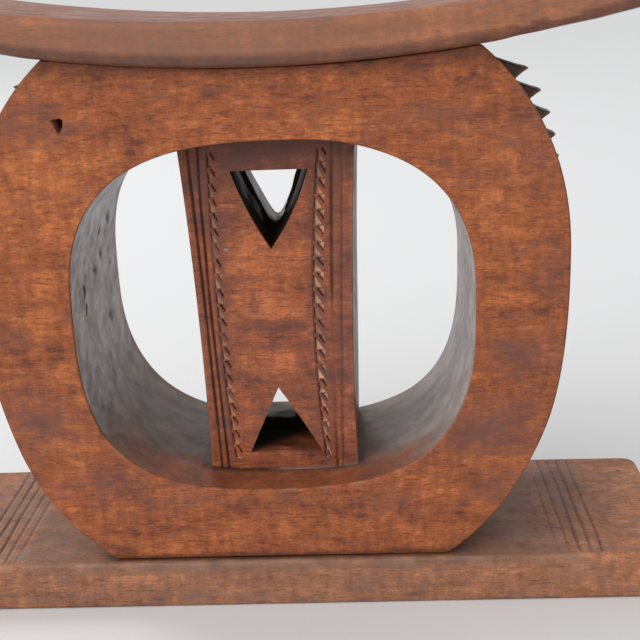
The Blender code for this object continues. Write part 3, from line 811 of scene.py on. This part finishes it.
def board(name, columns, rows, height_low, height_high, corner, rounding, relief, bow=0.0):
    """A closed board over a grid of (x, y) marks.

    It takes the heights of its two faces, its plan's corner radius and the rounding of its edges.
    relief(x, y) is how deep its top is cut, and bow is how far its back corners draw in.
    """
    x_grid, y_grid = np.meshgrid(columns, rows)
    half_x, half_y = columns[-1], rows[-1]
    over_x = held((np.abs(x_grid) - (half_x - corner)) / corner)
    over_y = held((np.abs(y_grid) - (half_y - corner)) / corner)
    inset_x = over_x * np.sqrt(1 - over_y ** 2 / 2)
    inset_y = over_y * np.sqrt(1 - over_x ** 2 / 2)
    x_plan = np.where(over_x > 0, np.sign(x_grid) * (half_x - corner + corner * inset_x), x_grid)
    y_plan = np.where(over_y > 0, np.sign(y_grid) * (half_y - corner + corner * inset_y), y_grid)
    y_plan = y_plan - bow * (x_plan / half_x) ** 2 * held(y_plan / half_y)
    total = x_plan.size
    numbers = np.arange(total).reshape(x_plan.shape)
    loop = np.concatenate([numbers[0], numbers[1:, -1], numbers[-1, -2::-1], numbers[-2:0:-1, 0]])
    loop_x = x_plan.ravel()[loop]
    loop_y = y_plan.ravel()[loop]
    normal = outward_normals(np.column_stack([loop_x, loop_y]))
    top = height_high(x_plan, y_plan) - relief(x_plan, y_plan)
    bottom = height_low(x_plan, y_plan)
    vertices = [cloud(x_plan, y_plan, top), cloud(x_plan, y_plan, bottom)]
    faces = grid_faces(*x_plan.shape, False, False)
    faces += [tuple(total + index for index in quad[::-1]) for quad in faces]
    loop_top = top.ravel()[loop]
    loop_bottom = bottom.ravel()[loop]
    previous = loop.tolist()
    base_index = 2 * total
    angles = np.linspace(0.0, math.pi / 2, 6)[1:]
    levels = [(math.sin(a), -rounding * (1 - math.cos(a)), 0) for a in angles]
    levels += [(1.0, share, 2) for share in (0.25, 0.5, 0.75)]
    levels += [(math.sin(a), rounding * (1 - math.cos(a)), 1) for a in angles[::-1]]
    for push, shift, kind in levels:
        if kind == 2:
            heights = (loop_top - rounding) * (1 - shift) + (loop_bottom + rounding) * shift
        else:
            heights = (loop_bottom if kind else loop_top) + shift
        ring_x = loop_x + normal[:, 0] * rounding * push
        ring_y = loop_y + normal[:, 1] * rounding * push
        vertices.append(np.column_stack([ring_x, ring_y, heights]))
        current = list(range(base_index, base_index + len(loop)))
        base_index += len(loop)
        faces += bridge(previous, current)
        previous = current
    faces += bridge(previous, (total + loop).tolist())
    placed = add_mesh(name, np.vstack(vertices), faces)
    outward(placed)
    return placed


def bridge(first, second):
    count = len(first)
    return [(first[i], first[(i + 1) % count], second[(i + 1) % count], second[i]) for i in range(count)]


BASE_ROUND = 1.2 * MM
BASE_CORNER = 3.2 * MM
BASE_BOW = 0.9 * MM
GROOVES = tuple((77.5 + 3.1 * number, depth) for number, depth in enumerate((0.20, 0.36, 0.50, 0.48, 0.55)))
GROOVE_HALF = 0.8


def base_relief(x, y):
    """Depth of the lines cut across the base near both of its ends. They fade before its front and back."""
    depth = np.zeros(x.shape)
    for side in (-1, 1):
        for number, (place, cut_depth) in enumerate(GROOVES):
            where = cloud(y / MM, 0 * y + 9.0 * number + side, 0 * y)
            stray = (lumps(where, 22.0, 90 + number) * 0.3).reshape(x.shape)
            firm = (0.75 + 0.25 * lumps(where, 9.0, 97 + number)).reshape(x.shape)
            near = held(1.0 - np.abs(side * x / MM - place - stray) / GROOVE_HALF)
            depth = np.maximum(depth, ease(near, 0.0, 1.0) * cut_depth * firm * MM)
    return depth * (1.0 - ease(np.abs(y), BASE_HIGH.y - 3.5 * MM, BASE_HIGH.y - 1.2 * MM))


def base_top(x, y):
    ripple = sheet_lumps(x, y, 24 * MM, 95) * 0.10 + sheet_lumps(x, y, 9 * MM, 96) * 0.05
    return BASE_TOP - 0.15 * MM + ripple * MM


# Patches of the base's top, each (x, y, half width, half depth, strength) in mm
BASE_PATINA = ((84, 24, 8, 30, 0.7), (-84, 10, 9, 34, 0.6), (100, 30, 12, 5, 0.2), (-104, 20, 8, 12, 0.4),
               (0, 0, 60, 40, 0.5), (96, -5, 5, 12, 0.35))
BASE_GLOW = ((105, 0, 12, 30, 1.0), (110, 16, 4, 8, 0.4), (-104, -12, 8, 16, 0.35))


def make_base():
    half_x = BASE_HIGH.x - BASE_ROUND
    half_y = BASE_HIGH.y - BASE_ROUND
    marks = set(np.round(np.linspace(0.0, 74.0, 26), 3))
    marks |= set(np.round(np.arange(74.6, 93.2, 0.22), 3))
    marks |= set(np.round(np.linspace(94.0, half_x / MM, 14), 3))
    ordered = sorted(marks)
    columns = np.array([-mark for mark in ordered[:0:-1]] + ordered) * MM
    columns[0], columns[-1] = -half_x, half_x
    rows = np.linspace(-half_y, half_y, 64)
    base = board("carved_base", columns, rows, lambda x, y: 0.0 * x, base_top, BASE_CORNER, BASE_ROUND,
                 base_relief, BASE_BOW)
    cut(base, pit_cutter())
    points = positions(base)
    x, y, z = points.T
    depth = base_relief(x, y) / MM * (z > BASE_TOP - 2 * MM)
    on_top = z > BASE_TOP - 1.5 * MM
    foot = float(ring_side(RING_FOOT))
    beyond = np.maximum(np.abs(x + RING_LEAN) - foot, 0.0)
    # Painted shadow on the base's top around the ring's foot.
    contact = (1.0 - ease(beyond, 0.0, 7 * MM)) * (np.abs(y) < 34 * MM)
    wet = lumps(points, 6 * MM, 98)
    pit = np.hypot(x - PIT[0] * MM, y - PIT[1] * MM) < 1.2 * MM
    # The grooves are darkened, more where they are cut deeper.
    in_grooves = np.clip(depth * 1.8, 0.0, 0.75) * (0.8 + 0.2 * wet)
    grime = np.maximum(in_grooves, np.where(on_top, contact * 0.75, 0.0))
    # Painted shade inside the worm hole.
    grime = np.where(pit & (z < BASE_TOP - 0.35 * MM), 0.8, grime)
    rim = ease(np.maximum(np.abs(x) - BASE_HIGH.x, np.abs(y) - BASE_HIGH.y), -1.6 * MM, -0.4 * MM)
    in_lines = (np.abs(np.abs(x) / MM - 84.0) < 9.0) & on_top
    # Painted shade: the middle of the base's top, beside the ring, takes half of the dark stain.
    set_layers(base, grime=grime, dust=in_lines * 0.25 * ease(wet, -0.4, 0.6),
               stain=np.where(on_top, 1.0 - ease(np.abs(x), 70 * MM, 80 * MM), 0.0) * 0.5,
               wear=rim * on_top * 0.35 * ease(lumps(points, 5 * MM, 99), -0.2, 0.4),
               patina=blobs(x, y, BASE_PATINA), glow=blobs(x, y, BASE_GLOW))
    return base


PIT = (105.2, 23.3)     # the worm hole near the base's right back corner, in mm


def pit_cutter():
    """The small worm hole, wider at its mouth."""
    builder = bmesh.new()
    bmesh.ops.create_cone(builder, cap_ends=True, segments=14, radius1=0.2 * MM, radius2=1.05 * MM,
                          depth=3.2 * MM)
    mesh = bpy.data.meshes.new("pit_cutter")
    builder.to_mesh(mesh)
    builder.free()
    tool = link("pit_cutter", mesh)
    tool.location = (PIT[0] * MM, PIT[1] * MM, BASE_TOP - 0.3 * MM)
    bpy.context.view_layer.update()
    return tool


PLATFORM_ROUND = 2.2 * MM


def make_platform():
    half_x = PLATFORM_HIGH.x - PLATFORM_ROUND
    half_y = PLATFORM_HIGH.y - PLATFORM_ROUND
    columns = np.linspace(-half_x, half_x, 150)
    rows = np.linspace(-half_y, half_y, 50)

    def low(x, y):
        hewn = scoops(x, y, 13 * MM, 8 * MM, 0.15, 101)
        clear = ease(np.abs(x), 60 * MM, 66 * MM)
        return underside(x) + hewn * 0.35 * MM * clear

    def high(x, y):
        share = x / PLATFORM_HIGH.x
        thickness = PLATFORM_THICKNESS + (PLATFORM_END_THICKNESS - PLATFORM_THICKNESS) * share ** 2
        crown = 0.5 * MM * (y / PLATFORM_HIGH.y) ** 2
        ripple = sheet_lumps(x, y, 26 * MM, 102) * 0.15 * MM
        return underside(x) + thickness - crown - np.abs(ripple)

    platform = board("carved_platform", columns, rows, low, high, 3.0 * MM, PLATFORM_ROUND,
                     lambda x, y: 0.0 * x)
    points = positions(platform)
    x, y, z = points.T
    # Painted shade darkens the platform's underside.
    under = z < underside(x) + 2.5 * MM
    edge = ease(np.maximum(np.abs(x) - PLATFORM_HIGH.x, np.abs(y) - PLATFORM_HIGH.y), -2.4 * MM, -0.6 * MM)
    set_layers(platform, grime=np.where(under, 0.3, 0.0), stain=np.where(under, 0.35, 0.0),
               wear=np.where(under, 0.0, edge * 0.35), patina=0.35 + 0.35 * lumps(points, 30 * MM, 103))
    return platform


# ---------------------------------------------------------------- crests

CREST_PITCH = 6.15 * MM
CREST_HEIGHTS = (7.1, 6.4, 5.7, 4.6, 3.6, 2.7, 2.0)      # of the teeth, in mm, from the top


def make_crest(name, side):
    """A row of pointed teeth down the ring's shoulder, each a little different."""
    random = np.random.RandomState(120 + side)
    top = CREST_HIGH.z - MIDDLE
    root = 2.0 * MM
    outer = [(float(ring_side(top, 0.8 * MM)), top)]

    def slope(start, end):
        """Two points of the slightly hollow line from start to end."""
        for step in (0.35, 0.7):
            sag = 0.25 * MM * math.sin(step * math.pi)
            outer.append((start[0] + (end[0] - start[0]) * step - sag, start[1] + (end[1] - start[1]) * step))

    for tooth, height in enumerate(CREST_HEIGHTS):
        tip = top - (tooth + 0.5 + random.uniform(-0.015, 0.015)) * CREST_PITCH
        valley = top - (tooth + 1) * CREST_PITCH
        valley_x = float(ring_side(valley, 0.6 * MM)) + random.uniform(-0.2, 0.2) * MM
        tip_x = float(ring_side(tip)) + height * MM
        slope(outer[-1], (tip_x, tip))
        outer.append((tip_x - 0.15 * MM, tip + 0.2 * MM))
        outer.append((tip_x - 0.15 * MM, tip - 0.2 * MM))
        slope((tip_x, tip), (valley_x, valley))
        outer.append((valley_x, valley))
    outer = np.array(outer)
    inner = np.column_stack([ring_side(outer[:, 1], -root), outer[:, 1]])
    half = CREST_HIGH.y
    layers = ((-1.0, 0.75), (-0.93, 0.92), (-0.7, 1.0), (0.0, 1.0), (0.7, 1.0), (0.93, 0.92), (1.0, 0.75))
    count = 2 * len(inner)
    vertices = []
    for place, fullness in layers:
        swell = np.vstack([inner, (inner + (outer - inner) * fullness)[::-1]])
        flat = np.column_stack([swell[:, 0], np.full(count, place * half), swell[:, 1]])
        jitter = lumps(flat, 3 * MM, 130) * 0.12 * MM
        for number, (x, z) in enumerate(swell):
            vertices.append((side * (x + jitter[number]), place * half, MIDDLE + z))
    faces = grid_faces(len(layers), count, False, True)
    length = len(inner)
    for start, flip in ((0, False), (len(vertices) - count, True)):
        for step in range(length - 1):
            quad = (start + step, start + step + 1, start + count - 2 - step, start + count - 1 - step)
            faces.append(quad[::-1] if flip else quad)
    crest = add_mesh(name, vertices, faces, sharp=28.0)
    outward(crest)
    points = positions(crest)
    # Painted shade: the teeth darken towards their roots on the ring.
    reach = np.abs(points[:, 0]) - ring_side(points[:, 2] - MIDDLE)
    set_layers(crest, grime=np.clip(1.0 - reach / (3.0 * MM), 0.25, 0.85), stain=np.full(len(points), 0.45),
               wear=ease(reach, 3.5 * MM, 6.5 * MM) * 0.15)
    return crest


# ---------------------------------------------------------------- materials

def set_inputs(node, values):
    for name, value in values.items():
        node.inputs[name].default_value = value


class Graph:
    """Short calls for building a material's nodes."""

    def __init__(self, name):
        self.material = bpy.data.materials.new(name)
        self.material.use_nodes = True
        self.tree = self.material.node_tree
        self.shader = self.tree.nodes["Principled BSDF"]
        self.place = self.node("ShaderNodeTexCoord").outputs["Object"]

    def node(self, kind, **settings):
        made = self.tree.nodes.new(kind)
        for name, value in settings.items():
            setattr(made, name, value)
        return made

    def wire(self, source, target):
        self.tree.links.new(source, target)

    def noise(self, scale, turn, detail, roughness, distortion=0.0):
        """Noise with this many features to a metre along each axis."""
        mapping = self.node("ShaderNodeMapping")
        set_inputs(mapping, {"Scale": scale, "Rotation": turn})
        self.wire(self.place, mapping.inputs["Vector"])
        made = self.node("ShaderNodeTexNoise")
        set_inputs(made, {"Scale": 1.0, "Detail": detail, "Roughness": roughness, "Distortion": distortion})
        self.wire(mapping.outputs["Vector"], made.inputs["Vector"])
        return made.outputs["Fac"]

    def spread(self, value, low, high, new_low=0.0, new_high=1.0, smooth=True):
        made = self.node("ShaderNodeMapRange")
        made.interpolation_type = 'SMOOTHSTEP' if smooth else 'LINEAR'
        set_inputs(made, {"From Min": low, "From Max": high, "To Min": new_low, "To Max": new_high})
        self.wire(value, made.inputs["Value"])
        return made.outputs["Result"]

    def math(self, operation, first, second=None, clamp=False):
        made = self.node("ShaderNodeMath", operation=operation, use_clamp=clamp)
        for number, value in enumerate((first, second)):
            if value is None:
                continue
            if isinstance(value, (int, float)):
                made.inputs[number].default_value = value
            else:
                self.wire(value, made.inputs[number])
        return made.outputs["Value"]

    def times(self, first, second):
        return self.math('MULTIPLY', first, second)

    def plus(self, first, second, clamp=False):
        return self.math('ADD', first, second, clamp)

    def mix(self, amount, first, second, blend='MIX'):
        """Mix two colours, each a socket or an (r, g, b)."""
        made = self.node("ShaderNodeMix", data_type='RGBA', blend_type=blend)
        for name, value in (("Factor", amount), ("A", first), ("B", second)):
            socket = next(s for s in made.inputs if s.name == name and s.enabled)
            if isinstance(value, (int, float)):
                socket.default_value = value
            elif isinstance(value, tuple):
                socket.default_value = (*value, 1.0)
            else:
                self.wire(value, socket)
        return next(s for s in made.outputs if s.enabled)

    def painted(self, name):
        made = self.node("ShaderNodeAttribute", attribute_name=name)
        return made.outputs["Fac"]


# What lies over the wood: the painted layer, how far it covers, and its colour. Fresh-cut wood and wear are
# the wood's own; the grime layer also paints shade, the dust layer also a pale sheen and highlights, and the
# last layer is painted shade inside the tunnels.
OVERLAYS = (("raw", 0.8, (0.72, 0.41, 0.245)), ("wear", 0.7, (0.52, 0.30, 0.19)),
            ("grime", 0.85, (0.030, 0.016, 0.012)), ("dust", 0.8, (0.30, 0.27, 0.26)),
            ("soot", 0.96, (0.052, 0.037, 0.029)))


def wood_material(name, dark, middle, light, patina_tone, gloss, seed, greyness):
    """Streaked, dense hardwood with its grain along X, rubbed to a satin."""
    graph = Graph(name)
    shift = seed * 13.7
    still = (0.0, 0.0, 0.0)
    bands = graph.noise((26, 160, 400), (shift, 0.03, 0.012), 4.0, 0.6, 0.3)
    patches = graph.noise((105, 150, 170), (0.1 + shift, 0.04, 0.0), 6.0, 0.70, 0.4)
    streaks = graph.noise((330, 1100, 1400), (shift, 0.02, 0.015), 3.0, 0.6, 0.2)
    dashes = graph.noise((260, 2200, 2500), (shift, 0.0, 0.02), 2.0, 0.5)
    cross = graph.noise((520, 300, 130), (0.2, shift, 0.0), 2.0, 0.5)
    speckle = graph.noise((1500, 1500, 1500), still, 1.0, 0.5)
    tone = graph.plus(graph.times(bands, 0.24), graph.times(patches, 0.58))
    tone = graph.plus(tone, graph.times(streaks, 0.18))
    tone = graph.plus(tone, graph.times(graph.painted("glow"), 0.13))
    tone = graph.math('SUBTRACT', tone, graph.times(graph.painted("patina"), 0.04))
    colour = graph.mix(graph.spread(tone, 0.36, 0.50), dark, middle)
    colour = graph.mix(graph.spread(tone, 0.49, 0.64), colour, light)
    grain = graph.spread(cross, 0.3, 0.7, 0.83, 1.16, smooth=False)
    grain = graph.times(grain, graph.spread(speckle, 0.3, 0.7, 0.86, 1.14, smooth=False))
    grain = graph.times(grain, graph.spread(streaks, 0.3, 0.7, 0.90, 1.09, smooth=False))
    grain_colour = graph.node("ShaderNodeCombineColor")
    for channel in ("Red", "Green", "Blue"):
        graph.wire(grain, grain_colour.inputs[channel])
    colour = graph.mix(1.0, colour, grain_colour.outputs["Color"], 'MULTIPLY')
    pores = graph.spread(dashes, 0.57, 0.68)
    colour = graph.mix(graph.times(pores, 0.5), colour, tuple(value * 0.5 for value in dark))

    # Old polish: purple-brown, in painted patches and in small clouds
    clouds = graph.noise((110, 240, 260), (0.5, shift, 0.3), 4.0, 0.6)
    clouds = graph.spread(clouds, 0.50, 0.68)
    patina = graph.times(graph.painted("patina"), graph.spread(patches, 0.66, 0.42, 0.6, 1.0))
    patina = graph.plus(patina, graph.times(clouds, 0.38 + greyness), clamp=True)
    colour = graph.mix(graph.times(patina, 0.92), colour, patina_tone)

    # The stain layer blends to a mottled dark brown: a real stain on the walls of the ring's opening, and
    # painted shade in the tunnels, under the platform and on the base beside the ring.
    stain = graph.painted("stain")
    mottled = graph.noise((120, 120, 120), (0.4, 0.2, 0.1), 3.0, 0.55)
    stained = graph.mix(graph.spread(mottled, 0.3, 0.7), (0.078, 0.047, 0.034), (0.190, 0.106, 0.070))
    colour = graph.mix(graph.times(stain, 0.92), colour, stained)
    for name, strength, tone in OVERLAYS:
        colour = graph.mix(graph.times(graph.painted(name), strength), colour, tone)
    graph.wire(colour, graph.shader.inputs["Base Color"])

    blotch = graph.noise((120, 160, 160), still, 4.0, 0.6)
    rough = graph.spread(blotch, 0.3, 0.7, gloss - 0.07, gloss + 0.10)
    rough = graph.math('SUBTRACT', rough, graph.times(stain, 0.08))
    rough = graph.plus(rough, graph.times(graph.painted("raw"), 0.2), clamp=True)
    graph.wire(rough, graph.shader.inputs["Roughness"])
    shine = graph.times(graph.spread(stain, 0.0, 1.0, 0.28, 0.66, smooth=False),
                        graph.spread(graph.painted("matte"), 0.0, 1.0, 1.0, 0.0, smooth=False))
    graph.wire(shine, graph.shader.inputs["Specular IOR Level"])
    height = graph.plus(graph.times(streaks, 0.6), graph.times(pores, -0.8))
    height = graph.plus(height, graph.times(blotch, 0.4))
    bump = graph.node("ShaderNodeBump")
    set_inputs(bump, {"Strength": 0.35, "Distance": 0.10 * MM})
    graph.wire(height, bump.inputs["Height"])
    graph.wire(bump.outputs["Normal"], graph.shader.inputs["Normal"])
    return graph.material


def plain_material(name, colour, roughness):
    graph = Graph(name)
    looks = {"Base Color": (*colour, 1.0), "Roughness": roughness, "Specular IOR Level": 0.3}
    set_inputs(graph.shader, looks)
    return graph.material


# ---------------------------------------------------------------- studio

FLOOR_REACH = 30.0


def make_floor():
    vertices = [(x * FLOOR_REACH, y * FLOOR_REACH, 0.0) for x, y in ((-1, -1), (1, -1), (1, 1), (-1, 1))]
    floor = add_mesh("floor", vertices, [(0, 1, 2, 3)])
    floor.data.materials.append(plain_material("pale_floor", (0.775, 0.785, 0.80), 0.6))


def add_light(name, kind, place, aimed_at, power, colour=(1.0, 1.0, 1.0)):
    """A light that looks at a height above the middle of the floor."""
    lamp = bpy.data.lights.new(name, kind)
    lamp.energy = power
    lamp.color = colour
    holder = link(name, lamp)
    holder.location = place
    direction = Vector(place) - Vector((0.0, 0.0, aimed_at))
    holder.rotation_euler = direction.to_track_quat('Z', 'Y').to_euler()
    return lamp


def make_lights():
    key = add_light("key", 'SUN', (-0.62, -0.55, 0.60), 0.0, 1.50, (1.0, 0.985, 0.965))
    key.angle = math.radians(60.0)
    window = add_light("left_window", 'AREA', (-1.2, 0.7, 1.0), 0.08, 9.0)
    window.shape = 'DISK'
    window.size = 0.8


def make_sky():
    world = bpy.data.worlds.new("soft_sky")
    world.use_nodes = True
    set_inputs(world.node_tree.nodes["Background"], {"Color": (0.98, 0.975, 0.97, 1.0), "Strength": 0.63})
    bpy.context.scene.world = world


CAMERA = (25.8 * MM, RING_FRONT - 320.6 * MM, MIDDLE + 91.7 * MM)
PITCH = math.radians(15.86)     # the camera looks down by this angle
YAW = math.radians(2.33)        # and to the left by this one
ROLL = math.radians(-2.28)
LENS = 69.75                    # in mm, on a sensor of this width
SENSOR = 36.0


def make_camera():
    lens = bpy.data.cameras.new("camera")
    lens.lens = LENS
    lens.sensor_width = SENSOR
    lens.clip_start = 0.01
    lens.clip_end = 100.0
    holder = link("camera", lens)
    turn = Matrix.Rotation(YAW, 4, 'Z') @ Matrix.Rotation(math.pi / 2 - PITCH, 4, 'X')
    holder.matrix_world = Matrix.Translation(CAMERA) @ turn @ Matrix.Rotation(ROLL, 4, 'Z')
    bpy.context.scene.camera = holder


# ---------------------------------------------------------------- assembly

# Each wood's dark, middle, light and polished colours, then its gloss, seed and greyness
WOODS = {"ring_wood": ((0.160, 0.047, 0.027), (0.335, 0.095, 0.032), (0.51, 0.157, 0.047),
                       (0.185, 0.080, 0.062), 0.42, 0.0, 0.0),
         "column_wood": ((0.145, 0.046, 0.031), (0.33, 0.095, 0.041), (0.53, 0.162, 0.060),
                         (0.160, 0.066, 0.052), 0.42, 2.0, 0.0),
         "base_wood": ((0.200, 0.088, 0.057), (0.36, 0.150, 0.075), (0.53, 0.225, 0.108),
                       (0.215, 0.130, 0.105), 0.48, 1.0, 0.15),
         "platform_wood": ((0.160, 0.047, 0.027), (0.30, 0.088, 0.032), (0.45, 0.140, 0.047),
                           (0.185, 0.080, 0.062), 0.36, 3.0, 0.0),
         "crest_wood": ((0.05, 0.018, 0.012), (0.13, 0.042, 0.022), (0.20, 0.065, 0.030),
                        (0.08, 0.035, 0.025), 0.5, 4.0, 0.0)}


def mount(piece, node, wood):
    """Put a carved piece in place of one of the frame's members."""
    piece.data.materials.clear()
    piece.data.materials.append(woods[wood])
    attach(piece, "root")
    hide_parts(node)


make_camera()
make_sky()
make_floor()
make_lights()

woods = {wood: wood_material(wood, *looks) for wood, looks in WOODS.items()}

mount(make_base(), "base_board", "base_wood")
mount(make_ring(), "ring_support", "ring_wood")
mount(make_column(), "central_column", "column_wood")
mount(make_platform(), "head_platform", "platform_wood")
mount(make_crest("left_crest_teeth", -1), "left_toothed_crest", "crest_wood")
mount(make_crest("right_crest_teeth", 1), "right_toothed_crest", "crest_wood")

bpy.context.scene.view_settings.view_transform = 'Standard'
